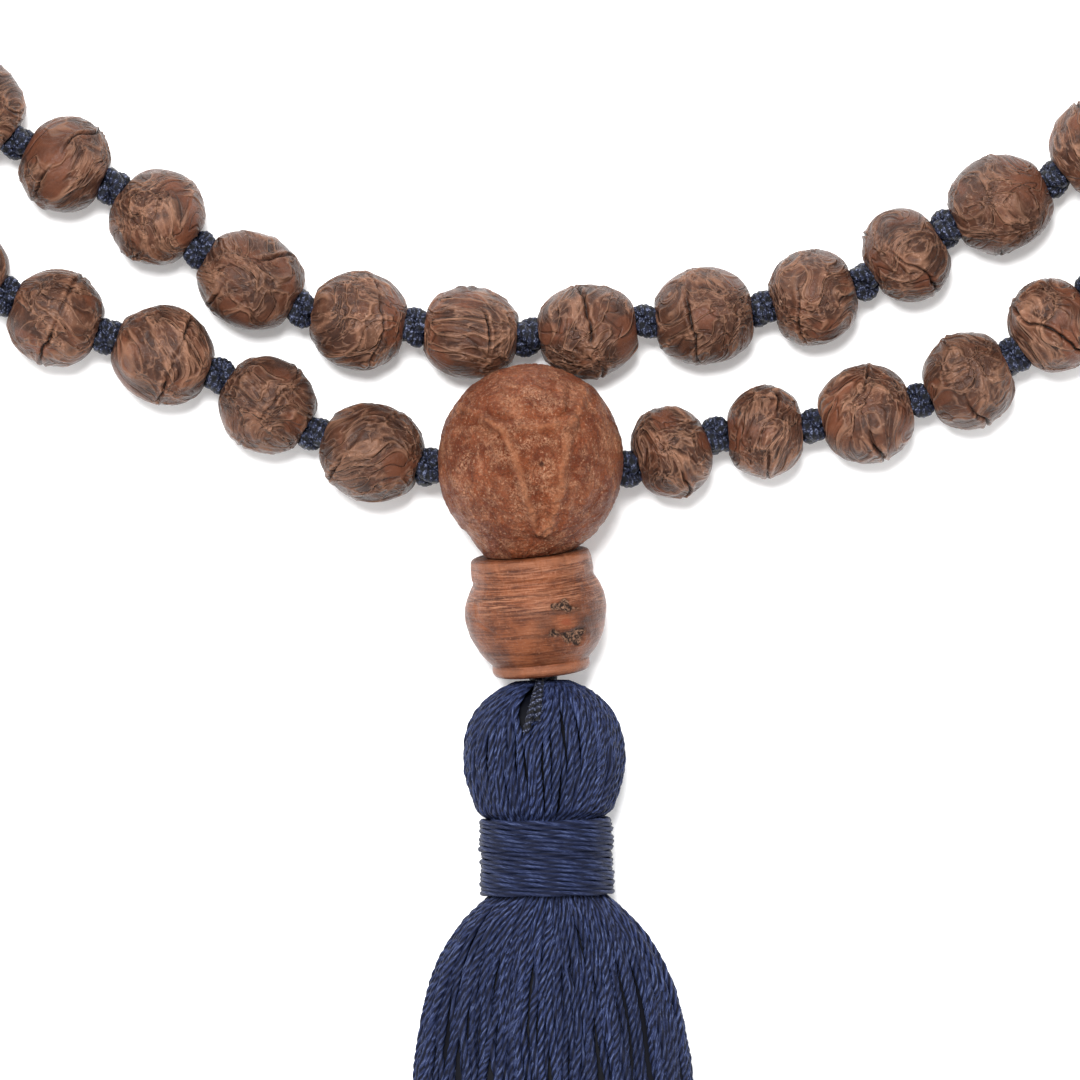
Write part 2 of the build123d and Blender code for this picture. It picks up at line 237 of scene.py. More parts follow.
def build(name, grids, material, body, nodes, place=None, closed=False):
    """One smooth piece from grids of (points, paint, fibre), which rides on a body and replaces CAD nodes.

    points is in millimetres, paint has three numbers a point for the material, and so has fibre.
    """
    points, paints, fibres, faces, first = [], [], [], [], 0
    for grid, paint, fibre in grids:
        rows, columns = grid.shape[:2]
        points.append(grid.reshape(-1, 3))
        paints.append(paint.reshape(-1, 3))
        fibres.append(fibre.reshape(-1, 3))
        faces.append(grid_faces(rows, columns, closed) + first)
        first += rows * columns
    points, paints, fibres, faces = map(np.concatenate, (points, paints, fibres, faces))
    # What would sink into the table is pressed flat against it.
    upright = np.array(place.to_3x3())[2] if place is not None else np.array([0, 0, 1.0])
    level = points @ upright + (place.translation.z / MM if place is not None else 0)
    points = points + np.clip(TABLE_GAP - level, 0, None)[:, None] * upright
    mesh = bpy.data.meshes.new(name)
    mesh.vertices.add(len(points))
    mesh.vertices.foreach_set("co", (points * MM).ravel())
    mesh.loops.add(faces.size)
    mesh.loops.foreach_set("vertex_index", faces.ravel())
    mesh.polygons.add(len(faces))
    mesh.polygons.foreach_set("loop_start", np.arange(0, faces.size, 4))
    mesh.polygons.foreach_set("use_smooth", np.ones(len(faces), bool))
    mesh.update(calc_edges=True)
    for label, values in (("paint", paints), ("fibre", fibres)):
        layer = mesh.attributes.new(label, "FLOAT_VECTOR", "POINT")
        layer.data.foreach_set("vector", values.astype(np.float32).ravel())
    mesh.materials.append(material)
    piece = bpy.data.objects.new(name, mesh)
    if place is not None:
        piece.matrix_world = place
    bpy.context.collection.objects.link(piece)
    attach(piece, body)
    if nodes:
        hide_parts(*nodes)
    return piece


def placed(centre, axis):
    """The matrix of a piece with its Z along an axis, its X level and its centre given in millimetres."""
    z = Vector(axis).normalized()
    x = z.cross(Vector((0, 0, 1))).normalized()
    y = z.cross(x)
    turn = Matrix((x, y, z)).transposed().to_4x4()
    return Matrix.Translation(Vector(centre) * MM) @ turn


# ---------------- materials


def linear(red, green, blue):
    """An sRGB colour, 0 to 255, as it looks in the studio light, as Blender's linear colour."""
    channels = []
    for value in (red, green, blue):
        share = value / 255
        level = share / 12.92 if share <= 0.04045 else ((share + 0.055) / 1.055) ** 2.4
        channels.append(level / LIGHT_LEVEL)
    return (*channels, 1)


class Finish:
    """A node material, built up with short calls."""

    def __init__(self, name, roughness, sheen=0.0, sheen_tint=(1, 1, 1, 1), specular=0.5):
        self.material = bpy.data.materials.new(name)
        self.material.use_nodes = True
        self.tree = self.material.node_tree
        self.shader = self.tree.nodes["Principled BSDF"]
        self.shader.inputs["Roughness"].default_value = roughness
        self.shader.inputs["Specular IOR Level"].default_value = specular
        self.shader.inputs["Sheen Weight"].default_value = sheen
        self.shader.inputs["Sheen Tint"].default_value = sheen_tint

    def put(self, socket, value):
        if isinstance(value, bpy.types.NodeSocket):
            self.tree.links.new(value, socket)
        else:
            socket.default_value = value

    def place(self):
        return self.tree.nodes.new("ShaderNodeTexCoord").outputs["Object"]

    def read(self, name):
        """The vector that the mesh holds under a name, and its three parts."""
        node = self.tree.nodes.new("ShaderNodeAttribute")
        node.attribute_name = name
        split = self.tree.nodes.new("ShaderNodeSeparateXYZ")
        self.put(split.inputs[0], node.outputs["Vector"])
        return node.outputs["Vector"], split.outputs

    def scaled(self, vector, scale):
        node = self.tree.nodes.new("ShaderNodeMapping")
        self.put(node.inputs["Vector"], vector)
        node.inputs["Scale"].default_value = scale
        return node.outputs[0]

    def noise(self, vector, scale, detail=4.0, roughness=0.6, warp=0.0, shift=0.0):
        """Noise from 0 to 1. shift, which may be a socket, moves it to another part of the pattern."""
        node = self.tree.nodes.new("ShaderNodeTexNoise")
        node.noise_dimensions = "4D"
        self.put(node.inputs["Vector"], vector)
        self.put(node.inputs["W"], shift)
        node.inputs["Scale"].default_value = scale
        node.inputs["Detail"].default_value = detail
        node.inputs["Roughness"].default_value = roughness
        node.inputs["Distortion"].default_value = warp
        return node.outputs["Fac"]

    def math(self, operation, first, second=0.0):
        node = self.tree.nodes.new("ShaderNodeMath")
        node.operation = operation
        self.put(node.inputs[0], first)
        self.put(node.inputs[1], second)
        return node.outputs[0]

    def span(self, value, low, high, to_low=0.0, to_high=1.0):
        """A value's stretch from low to high, made to run from to_low to to_high and held outside it."""
        node = self.tree.nodes.new("ShaderNodeMapRange")
        node.interpolation_type = "SMOOTHSTEP"
        self.put(node.inputs["Value"], value)
        for name, number in (("From Min", low), ("From Max", high), ("To Min", to_low), ("To Max", to_high)):
            node.inputs[name].default_value = number
        return node.outputs[0]

    def mix(self, share, first, second):
        node = self.tree.nodes.new("ShaderNodeMix")
        node.data_type = "RGBA"
        self.put(node.inputs["Factor"], share)
        self.put(node.inputs[6], first)
        self.put(node.inputs[7], second)
        return node.outputs[2]

    def over(self, base, share, red, green, blue):
        """A base colour with an sRGB colour laid over a share of it."""
        return self.mix(share, base, linear(red, green, blue))

    def shade(self, base, value, low, high, most, *colour):
        """A base colour with another laid over it, up to a share of most as a value goes from low to high."""
        return self.over(base, self.span(value, low, high, 0, most), *colour)

    def lines(self, value, sharp):
        """Thin winding lines, from 0 to 1, where a noise crosses its middle."""
        off = self.math("ABSOLUTE", self.math("SUBTRACT", value, 0.5))
        return self.span(off, 1 / sharp, 0.0)

    def relief(self, height, depth, before=None):
        """A bump as deep as depth, in millimetres, on top of an earlier one."""
        node = self.tree.nodes.new("ShaderNodeBump")
        node.inputs["Distance"].default_value = depth * MM
        self.put(node.inputs["Height"], height)
        if before is not None:
            self.put(node.inputs["Normal"], before)
        return node.outputs[0]

    def done(self, colour, roughness=None, normal=None):
        self.put(self.shader.inputs["Base Color"], colour)
        if roughness is not None:
            self.put(self.shader.inputs["Roughness"], roughness)
        if normal is not None:
            self.put(self.shader.inputs["Normal"], normal)
        return self.material


def seed_finish():
    """Old brown seed shell. paint holds its ridges' painted highlight and its cracks' painted shade, its
    smooth patches and the seed's own tone.
    """
    shell = Finish("seed_shell", 0.42, specular=0.16)
    place = shell.place()
    _, (ridge_light_hollow_shade, patch, tone) = shell.read("paint")
    flow, _ = shell.read("fibre")
    shift = shell.math("MULTIPLY", tone, 40.0)
    rugged = shell.span(patch, 0.1, 0.9, 1.0, 0.2)
    broad = shell.noise(place, 260, 3, 0.55, 0.6, shift)
    blotch = shell.noise(place, 750, 5, 0.65, 1.4, shift)
    fine = shell.noise(place, 3000, 5, 0.7, 0.8, shift)
    highlit_fold = shell.lines(shell.noise(flow, 0.4, 1.5, 0.5, 0.5, shift), 24)
    shaded_furrow = shell.lines(shell.noise(flow, 0.45, 1.5, 0.5, 0.5, shell.math("ADD", shift, 7.0)), 30)
    highlit_crinkle = shell.lines(shell.noise(flow, 0.95, 2, 0.5, 0.7, shift), 22)
    highlit_crinkle = shell.math("MULTIPLY", highlit_crinkle, rugged)
    base = shell.mix(shell.span(blotch, 0.36, 0.64), linear(62, 39, 30), linear(94, 60, 45))
    base = shell.shade(base, broad, 0.45, 0.7, 0.55, 136, 82, 57)
    base = shell.shade(base, patch, 0.2, 0.95, 0.5, 138, 80, 55)
    # Painted shade in the sunken furrows.
    base = shell.over(base, shell.math("MULTIPLY", shaded_furrow, 0.5), 42, 24, 18)
    # Painted highlight along the raised crinkles and folds.
    base = shell.over(base, shell.math("MULTIPLY", highlit_crinkle, 0.5), 172, 128, 104)
    base = shell.over(base, shell.math("MULTIPLY", highlit_fold, 0.55), 174, 128, 102)
    # Painted highlight on the ridges; painted shade in the valleys between them, deepest in the cracks and
    # the bore.
    base = shell.shade(base, ridge_light_hollow_shade, 0.0, 0.7, 0.6, 170, 122, 96)
    base = shell.shade(base, ridge_light_hollow_shade, -0.1, -0.3, 0.5, 60, 36, 27)
    base = shell.shade(base, ridge_light_hollow_shade, -0.4, -0.9, 0.92, 24, 13, 10)
    # Painted glints on the ridges.
    ridge_glints = shell.math("MULTIPLY", shell.span(fine, 0.57, 0.68), shell.span(ridge_light_hollow_shade, -0.2, 0.5))
    base = shell.over(base, shell.math("MULTIPLY", ridge_glints, 0.85), 208, 165, 139)
    base = shell.shade(base, fine, 0.44, 0.34, 0.45, 52, 31, 23)
    base = shell.over(base, shell.span(tone, 0, 1, 0.25, 0.0), 62, 40, 30)
    normal = shell.relief(highlit_fold, 0.17)
    normal = shell.relief(shaded_furrow, -0.09, normal)
    normal = shell.relief(highlit_crinkle, 0.06, normal)
    normal = shell.relief(fine, 0.1, normal)
    rough = shell.span(fine, 0.3, 0.75, 0.28, 0.45)
    return shell.done(base, rough, normal)


def guru_finish():
    """Paler, redder seed shell with dusty flecks. paint holds the ridges' painted highlight and their
    grooves' painted shade, the pits' painted shade, and mottling.
    """
    shell = Finish("guru_shell", 0.45, specular=0.14)
    place = shell.place()
    _, (ridge_light_hollow_shade, shaded_pit, mottle) = shell.read("paint")
    blotch = shell.noise(place, 330, 5, 0.62, 1.0)
    crackle = shell.noise(place, 620, 6, 0.7, 2.6)
    scratches = shell.noise(place, 1500, 4, 0.65, 3.0)
    fine = shell.noise(place, 4200, 4, 0.7)
    dusty = shell.span(shell.noise(place, 480, 3, 0.6, 1.0), 0.42, 0.62)
    base = shell.mix(shell.span(blotch, 0.36, 0.64), linear(122, 58, 32), linear(160, 86, 52))
    base = shell.shade(base, mottle, 0.0, 1.0, 0.4, 170, 101, 67)
    base = shell.over(base, shell.math("MULTIPLY", shell.lines(crackle, 26), 0.6), 84, 41, 25)
    pale = shell.math("MULTIPLY", shell.lines(scratches, 17), dusty)
    base = shell.over(base, shell.math("MULTIPLY", pale, 0.9), 216, 158, 122)
    base = shell.shade(base, fine, 0.57, 0.64, 0.8, 226, 172, 138)
    base = shell.shade(base, fine, 0.44, 0.36, 0.4, 104, 54, 35)
    # Painted highlight on the raised lines, painted shade in the grooves beside them.
    base = shell.shade(base, ridge_light_hollow_shade, 0.15, 0.9, 0.55, 192, 124, 86)
    base = shell.shade(base, ridge_light_hollow_shade, -0.03, -0.3, 0.6, 92, 46, 28)
    # Painted shade in the pits and the string's mouths.
    base = shell.shade(base, shaded_pit, 0.1, 0.9, 0.85, 62, 32, 22)
    normal = shell.relief(blotch, 0.4)
    normal = shell.relief(crackle, 0.4, normal)
    normal = shell.relief(scratches, 0.3, normal)
    normal = shell.relief(fine, 0.12, normal)
    rough = shell.span(crackle, 0.35, 0.7, 0.38, 0.6)
    return shell.done(base, rough, normal)


def wood_finish():
    """Turned orange-brown wood, grained round the lathe axis. paint holds pits, painted with shade, a red
    spot and wear.
    """
    wood = Finish("turned_wood", 0.45, specular=0.16)
    place = wood.place()
    _, (shaded_pit, spot, wear) = wood.read("paint")
    _, (band, _, _) = wood.read("fibre")
    rings = wood.noise(wood.scaled(place, (110, 110, 1500)), 1.0, 5, 0.65, 0.5)
    threads = wood.noise(wood.scaled(place, (330, 330, 6500)), 1.0, 4, 0.7, 0.3)
    blotch = wood.noise(place, 260, 5, 0.65, 0.9)
    fine = wood.noise(place, 3600, 5, 0.7)
    base = wood.mix(wood.span(blotch, 0.38, 0.62), linear(98, 50, 28), linear(142, 79, 47))
    base = wood.shade(base, rings, 0.5, 0.36, 0.7, 74, 39, 25)
    base = wood.shade(base, rings, 0.54, 0.68, 0.45, 164, 99, 63)
    streaks = wood.math("MULTIPLY", wood.span(threads, 0.46, 0.62), wood.span(band, 0, 1, 0.25, 0.95))
    base = wood.over(base, streaks, 188, 128, 96)
    base = wood.shade(base, threads, 0.47, 0.35, 0.6, 72, 39, 26)
    base = wood.shade(base, fine, 0.56, 0.66, 0.5, 188, 128, 98)
    base = wood.shade(base, fine, 0.44, 0.36, 0.4, 80, 44, 30)
    base = wood.shade(base, wear, 0.1, 1.0, 0.45, 172, 110, 78)
    base = wood.shade(base, spot, -0.05, -0.8, 0.8, 66, 40, 30)
    base = wood.shade(base, spot, 0.2, 0.9, 0.85, 142, 70, 41)
    # Painted shade in the pits, with pale torn fibres.
    pit_shade_and_fibres = wood.mix(wood.span(fine, 0.46, 0.6), linear(34, 24, 20), linear(158, 118, 94))
    base = wood.mix(wood.span(shaded_pit, 0.15, 0.7, 0, 0.95), base, pit_shade_and_fibres)
    normal = wood.relief(rings, 0.05)
    normal = wood.relief(threads, 0.08, normal)
    normal = wood.relief(fine, 0.12, normal)
    rough = wood.span(shaded_pit, 0.1, 0.8, 0.38, 0.8)
    return wood.done(base, rough, normal)


def cord_finish():
    """Waxed, braided navy cord. paint holds the height of its braid, whose low parts get painted shade, and
    each strand's tone.
    """
    cord = Finish("braided_cord", 0.4, specular=0.2)
    place = cord.place()
    _, (braid, tone, _) = cord.read("paint")
    grain = cord.noise(place, 5600, 4, 0.75)
    patch = cord.noise(place, 1400, 3, 0.6)
    # Painted shade between the braid's strands, lighter on their raised parts.
    base = cord.mix(cord.span(braid, 0.35, 1.0), linear(4, 5, 12), linear(28, 35, 63))
    base = cord.shade(base, patch, 0.5, 0.7, 0.6, 15, 18, 33)
    glints = cord.math("MULTIPLY", cord.span(grain, 0.54, 0.6), cord.span(braid, 0.3, 0.8))
    base = cord.over(base, cord.math("MULTIPLY", glints, 0.9), 158, 168, 205)
    normal = cord.relief(grain, 0.16)
    return cord.done(base, cord.span(grain, 0.3, 0.7, 0.3, 0.55), normal)


def yarn_finish():
    """Navy cotton yarn. paint holds how high a ply stands, which sets painted shade and highlight, the
    strand's tone and its depth in the tassel, which sets painted shade.
    """
    yarn = Finish("cotton_yarn", 0.6, sheen=0.08, sheen_tint=linear(120, 135, 190), specular=0.1)
    place = yarn.place()
    _, (ply, tone, depth) = yarn.read("paint")
    fibre, _ = yarn.read("fibre")
    shift = yarn.math("MULTIPLY", tone, 30.0)
    hairs = yarn.noise(yarn.scaled(fibre, (4, 4, 1.3)), 1.0, 4, 0.7, 0.4, shift)
    patch = yarn.noise(place, 420, 3, 0.6)
    # Painted shade in the grooves between plies, and painted highlights on the ply crests.
    base = yarn.mix(yarn.span(ply, 0.1, 0.85), linear(9, 12, 27), linear(47, 59, 102))
    lit = yarn.math("MULTIPLY", yarn.span(hairs, 0.5, 0.62), yarn.span(ply, 0.35, 0.9))
    base = yarn.over(base, yarn.math("MULTIPLY", lit, 0.9), 112, 126, 170)
    base = yarn.shade(base, hairs, 0.49, 0.38, 0.8, 14, 18, 37)
    base = yarn.over(base, yarn.span(tone, 0, 1, 0.45, 0.0), 18, 23, 46)
    base = yarn.shade(base, patch, 0.52, 0.75, 0.35, 20, 26, 50)
    # Painted shade on yarns deep in the tassel.
    base = yarn.shade(base, depth, 0, 1, 0.9, 6, 8, 17)
    normal = yarn.relief(hairs, 0.06)
    return yarn.done(base, yarn.span(hairs, 0.3, 0.7, 0.7, 0.5), normal)


seed_shell = seed_finish()
guru_shell = guru_finish()
turned_wood = wood_finish()
braided_cord = cord_finish()
cotton_yarn = yarn_finish()


# ---------------- the string's own looks

string.data.materials.append(braided_cord)
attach(string, "strand")
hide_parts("string")
for name in ("guru_core_knot", "hanger_cord"):
    frame["nodes"][name].data.materials.clear()
    frame["nodes"][name].data.materials.append(braided_cord)


# ---------------- seeds

SEED_BORE = 0.95
LUMP, VEIN, WRINKLE = 0.17, 0.11, 0.035
NEAR_COUNT = (224, 112)
FAR_COUNT = (72, 38)


def solids_of(node):
    """The corner points, in millimetres, of each separate solid in a CAD node."""
    work = bmesh.new()
    work.from_mesh(frame["nodes"][node].data)
    bmesh.ops.remove_doubles(work, verts=work.verts, dist=1e-6)
    taken = set()
    solids = []
    for start in work.verts:
        if start in taken:
            continue
        taken.add(start)
        found = [start]
        for vertex in found:
            for edge in vertex.link_edges:
                other = edge.other_vert(vertex)
                if other not in taken:
                    taken.add(other)
                    found.append(other)
        solids.append(np.array([vertex.co for vertex in found]) / MM)
    work.free()
    return solids


def spun(axis, corners):
    """The centre, the length along an axis and the width across it of a round solid."""
    way = np.array(axis)
    middle = (corners.min(axis=0) + corners.max(axis=0)) / 2
    along = (corners - middle) @ way
    centre = middle + way * (along.min() + along.max()) / 2
    beside = corners - centre - np.outer((corners - centre) @ way, way)
    return centre, along.max() - along.min(), 2 * np.linalg.norm(beside, axis=1).max()


def toward(turn, tip):
    """The direction at an angle round Z and an angle away from it."""
    parts = np.broadcast_arrays(np.sin(tip) * np.cos(turn), np.sin(tip) * np.sin(turn), np.cos(tip))
    return np.stack(parts, -1)


def seed_grid(number, length, width, count):
    """A wrinkled seed round its bore along Z: points, the ridges' painted highlight and cracks' painted
    shade, patches and tone to paint, and its flow.
    """
    around, along = count
    dice = np.random.default_rng(1000 + number)
    turn = np.linspace(0, 2 * math.pi, around, endpoint=False)[None, :]
    mouth = math.asin(2 * SEED_BORE / width)
    tip = np.linspace(math.pi - mouth, mouth, along)[:, None]
    facing = toward(turn, tip)
    ball = facing * width / 2

    flow = unit(dice.normal(size=3))
    sway = np.stack([noise(ball, 2.6, 16 * number + i) for i in range(3)], -1)
    warped = ball + 1.3 * sway
    warped = warped - 0.8 * (warped @ flow)[..., None] * flow
    patch = smoothstep(noise(ball, 3.2, 16 * number + 3), 0.15, 0.6)
    calm = 1 - 0.8 * patch
    vein = veins(warped, 1.3, 16 * number + 4, 0.32)
    wrinkle = veins(warped + 0.3 * sway, 0.72, 16 * number + 5, 0.3)

    # The seam runs round the seed, more or less across the string, with a lip on each side of a crack.
    tilt = dice.uniform(-0.7, 0.7)
    way_round = dice.uniform(0, 2 * math.pi)
    across = toward(way_round, tilt)
    off_seam = ball @ across + 0.7 * noise(ball, 2.4, 16 * number + 8) + dice.uniform(-0.9, 0.9)
    off_seam += 0.12 * noise(ball, 0.6, 16 * number + 7)
    open_seam = smoothstep(noise(ball, 3.0, 16 * number + 9), -0.3 + dice.uniform(-0.3, 0.3), 0.4)
    crack = bump(off_seam, 0.11) * open_seam
    lips = bump(np.abs(off_seam) - 0.32, 0.26) * (0.4 + 0.6 * open_seam)

    height = LUMP * noise(ball, 4.2, 16 * number + 10) + LUMP * 0.4 * noise(ball, 1.7, 16 * number + 11)
    height += calm * (VEIN * vein + WRINKLE * wrinkle) + 0.2 * lips - 0.4 * crack
    dimple = bump(np.hypot(ball[..., 0], ball[..., 1]), 1.5)
    points = ball * np.array([1, 1, 1.06 * length / width])
    points += facing * (height * (1 - dimple))[..., None]
    points[..., 2] -= np.sign(facing[..., 2]) * 0.75 * dimple
    off_axis = np.hypot(points[..., 0], points[..., 1])
    reach = np.percentile(off_axis.max(axis=0), 75)
    points[..., :2] *= np.where(off_axis > SEED_BORE * 1.3, width / 2 / reach, 1)[..., None]

    # Painted highlight on the veins, wrinkles and seam lips, and painted shade in the crack.
    ridge_light_hollow_shade = calm * (0.6 * vein + 0.5 * wrinkle) + 0.3 * lips - 1.3 * crack - 0.2
    tone = np.full_like(ridge_light_hollow_shade, dice.uniform(0, 1))
    paint = np.stack([ridge_light_hollow_shade, patch, tone], -1)
    bore = points[[-1, -1, 0, 0]].copy()
    bore[1:3, :, :2] = SEED_BORE * np.stack([np.cos(turn[0]), np.sin(turn[0])], -1)
    bore[1, :, 2] -= 0.8
    bore[2, :, 2] += 0.8
    # The inside of the bore is painted with shade.
    bore_paint = paint[[-1, -1, 0, 0]] * np.array([0, 0, 1]) + np.array([-0.4, 0, 0])
    points = np.concatenate([points, bore[1:3]])
    paint = np.concatenate([paint, bore_paint[1:3]])
    return points, paint, warped[[*range(along), -1, 0]]


def add_seed(number, corners, axis, count, body, node):
    centre, length, width = spun(axis, corners)
    grid = seed_grid(number, length, width, count)
    build(f"seed_{number:03d}", [grid], seed_shell, body, [node], placed(centre, axis), closed=True)


def add_seeds():
    for node in frame["nodes"]:
        if node.startswith("bead_"):
            number = int(node[-3:])
            axis = Vector(joints[f"turn_{node}"]["axis"])
            add_seed(number, solids_of(node)[0], axis, NEAR_COUNT, node, node)
        elif node.startswith("beads_"):
            first = int(node.split("_")[1])
            for index, corners in enumerate(solids_of(node)):
                axis = way_of_string((corners.min(axis=0) + corners.max(axis=0)) / 2)
                add_seed(first + index, corners, axis, FAR_COUNT, "strand", node)


add_seeds()


# ---------------- tubes, yarn and knots

# How deep the grooves between a tube's plies are, as a share of its radius.
PLY_DEPTH = 0.32


def tube(path, across, radius, lobes, twist, phase, sides, closed=False):
    """A twisted tube along a path: its points, how high its plies stand, and coordinates along its fibres.

    across is a direction square to the path at each of its points, or one direction for them all.
    """
    if closed:
        way = unit(np.roll(path, -1, axis=0) - np.roll(path, 1, axis=0))
    else:
        way = unit(np.gradient(path, axis=0))
    across = np.broadcast_to(across, path.shape)
    side = unit(across - (across * way).sum(-1, keepdims=True) * way)
    up = np.cross(way, side)
    run = np.concatenate([[0], np.cumsum(np.linalg.norm(np.diff(path, axis=0), axis=1))])
    angle = np.linspace(0, 2 * math.pi, sides, endpoint=False)[None, :]
    turn = angle - (2 * math.pi * run / twist + phase)[:, None]
    ply = 0.5 + 0.5 * np.cos(lobes * turn)
    size = np.broadcast_to(radius, run.shape)[:, None] * (1 - PLY_DEPTH * (1 - ply))
    points = path[:, None] + size[..., None] * (
        np.cos(angle)[..., None] * side[:, None] + np.sin(angle)[..., None] * up[:, None]
    )
    fibre = np.stack([np.cos(turn), np.sin(turn), np.broadcast_to(run[:, None], turn.shape)], -1)
    return points, ply, fibre


KNOT_CORD = 0.7
KNOT_COUNT = (132, 14)
FAR_KNOT_COUNT = (60, 8)


def knot_grid(dice, count, width):
    """A small tight knot round the string along Z: a trefoil of braided cord."""
    rings, sides = count
    t = np.linspace(0, 2 * math.pi, rings, endpoint=False)
    path = np.stack([np.sin(t) + 2 * np.sin(2 * t), np.cos(t) - 2 * np.cos(2 * t), -1.5 * np.sin(3 * t)], -1)
    path = path * (width / 2 - KNOT_CORD) / 3
    path += 0.1 * np.stack([noise(path, 0.9, dice.integers(1000)) for i in range(3)], -1)
    points, ply, fibre = tube(path, (0, 0, 1), KNOT_CORD, 1, 1e9, 0, sides, closed=True)
    run, angle = fibre[..., 2], np.arctan2(fibre[..., 1], fibre[..., 0])
    braid = np.abs(np.sin(2 * angle + 5.2 * run) * np.sin(2 * angle - 5.2 * run)) ** 0.5
    centre = path[:, None]
    swell = (0.88 + 0.18 * braid) / (1 - PLY_DEPTH * (1 - ply))
    points = centre + (points - centre) * swell[..., None]
    turn, lean = dice.uniform(0, 2 * math.pi), dice.uniform(-0.2, 0.2)
    spin = np.array(Matrix.Rotation(turn, 3, "Z") @ Matrix.Rotation(lean, 3, "X"))
    points = points @ spin.T
    # The braid's height sets painted shade between its strands.
    paint = np.stack([braid, np.full_like(braid, dice.uniform(0, 1)), np.zeros_like(braid)], -1)
    return points, paint, fibre


def in_view(place):
    """Whether a place, in millimetres, is in the picture or just beside it."""
    return max(abs(place[0] - VIEW_CENTRE[0]), abs(place[1] - VIEW_CENTRE[1])) < 0.56 * VIEW_WIDTH


def add_knots():
    dice = np.random.default_rng(5)
    for node in frame["nodes"]:
        if not node.startswith("knots_"):
            continue
        grids = []
        for corners in solids_of(node):
            centre = (corners.min(axis=0) + corners.max(axis=0)) / 2
            count = KNOT_COUNT if in_view(centre) else FAR_KNOT_COUNT
            points, paint, fibre = knot_grid(dice, count, dice.uniform(3.5, 4.0))
            place = placed(centre, way_of_string(centre))
            turn = np.array(place.to_3x3())
            grids.append((points @ turn.T + centre, paint, fibre))
        name = node.replace("knots", "knotted")
        build(name, grids, braided_cord, "strand", [node], closed=True)


add_knots()


# ---------------- guru bead

GURU_RADIUS, GURU_CROWN, GURU_FOOT, GURU_FOOT_RADIUS = 8.5, 8.6, 8.5, 4.05
GURU_CENTRE = np.array([0, 0, 8.5])
MOUTH_RADIUS = 1.5
BARREL_LEAN = math.radians(5.7)
FOOT_REACH = 0.24
# The raised lines on its upper side, as seen from above: each runs through points, with its height and width.
GURU_LINES = [
    ([(-4.0, 3.4), (-2.7, 2.75), (-0.7, 2.5), (1.5, 2.7), (3.7, 3.1)], 0.34, 0.42),
    ([(-3.4, 3.1), (-2.2, 2.1), (-1.3, 0.2), (-0.6, -2.3), (0.1, -4.9), (0.7, -6.6)], 0.44, 0.42),
    ([(3.7, 3.1), (3.3, 1.9), (3.2, -0.6), (2.6, -3.4), (1.9, -5.3), (1.5, -6.6)], 0.4, 0.44),
    ([(-4.0, 3.4), (-5.2, 4.1), (-6.2, 4.2)], 0.26, 0.42),
    ([(3.7, 3.1), (4.4, 4.2), (4.9, 5.2), (4.7, 6.3)], 0.32, 0.4),
    ([(3.0, 4.2), (2.9, 6.3)], 0.22, 0.34),
    ([(-5.7, 3.5), (-6.3, 4.0), (-6.0, 4.5), (-5.4, 4.2), (-5.7, 3.5)], 0.16, 0.24),
    ([(-5.4, 2.4), (-4.2, 1.9), (-3.1, 0.8), (-2.6, -0.7)], 0.2, 0.4),
    ([(4.6, -1.2), (5.4, -2.6), (4.9, -4.2)], 0.16, 0.45),
    ([(2.6, -2.2), (3.6, -3.2), (3.4, -4.6)], 0.16, 0.4),
]
# Its pits, as (x, y, width, depth), and the nodules at the V's lower end, as (x, y).
GURU_PITS = [(1.1, -0.65, 0.28, 1.0), (0.7, -7.1, 0.3, 0.8), (-6.0, 3.9, 0.25, 0.6)]
GURU_NODULES = [(0.75, -6.75), (1.3, -6.9), (1.75, -6.6), (1.2, -6.2), (2.3, -6.5)]


def off_line(x, y, corners):
    """The distance from each (x, y) to a line through corners."""
    nearest = np.full(x.shape, 1e9)
    for (ax, ay), (bx, by) in zip(corners, corners[1:]):
        dx, dy = bx - ax, by - ay
        part = np.clip(((x - ax) * dx + (y - ay) * dy) / (dx * dx + dy * dy), 0, 1)
        nearest = np.minimum(nearest, np.hypot(x - ax - part * dx, y - ay - part * dy))
    return nearest


def lathe(profile, around):
    """A grid of rings from (radius, height) points, round Z."""
    turn = np.linspace(0, 2 * math.pi, around, endpoint=False)[None, :]
    radius, height = np.array(profile).T[:, :, None]
    return np.stack(np.broadcast_arrays(radius * np.cos(turn), radius * np.sin(turn), height), -1)


def guru_profile(rings):
    """(radius, height) from the crown, which is below, round the bead to its foot, which is above."""
    profile = []
    for turn in np.linspace(-math.pi / 2 + 0.004, 0, rings // 2, endpoint=False):
        profile.append((GURU_RADIUS * math.cos(turn), GURU_CROWN * math.sin(turn)))
    for part in np.linspace(0, 1, rings // 2):
        height = GURU_FOOT * (1 - (1 - part) ** 1.25)
        share = (height / GURU_FOOT) ** 2.35
        profile.append((GURU_RADIUS + (GURU_FOOT_RADIUS - GURU_RADIUS) * share, height))
    for radius in (3.8, 3.2, 2.5, 1.8, 1.3):
        profile.append((radius, GURU_FOOT + 0.02))
    for height in (GURU_FOOT - 0.3, GURU_FOOT - 2.5):
        profile.append((1.3, height))
    return profile


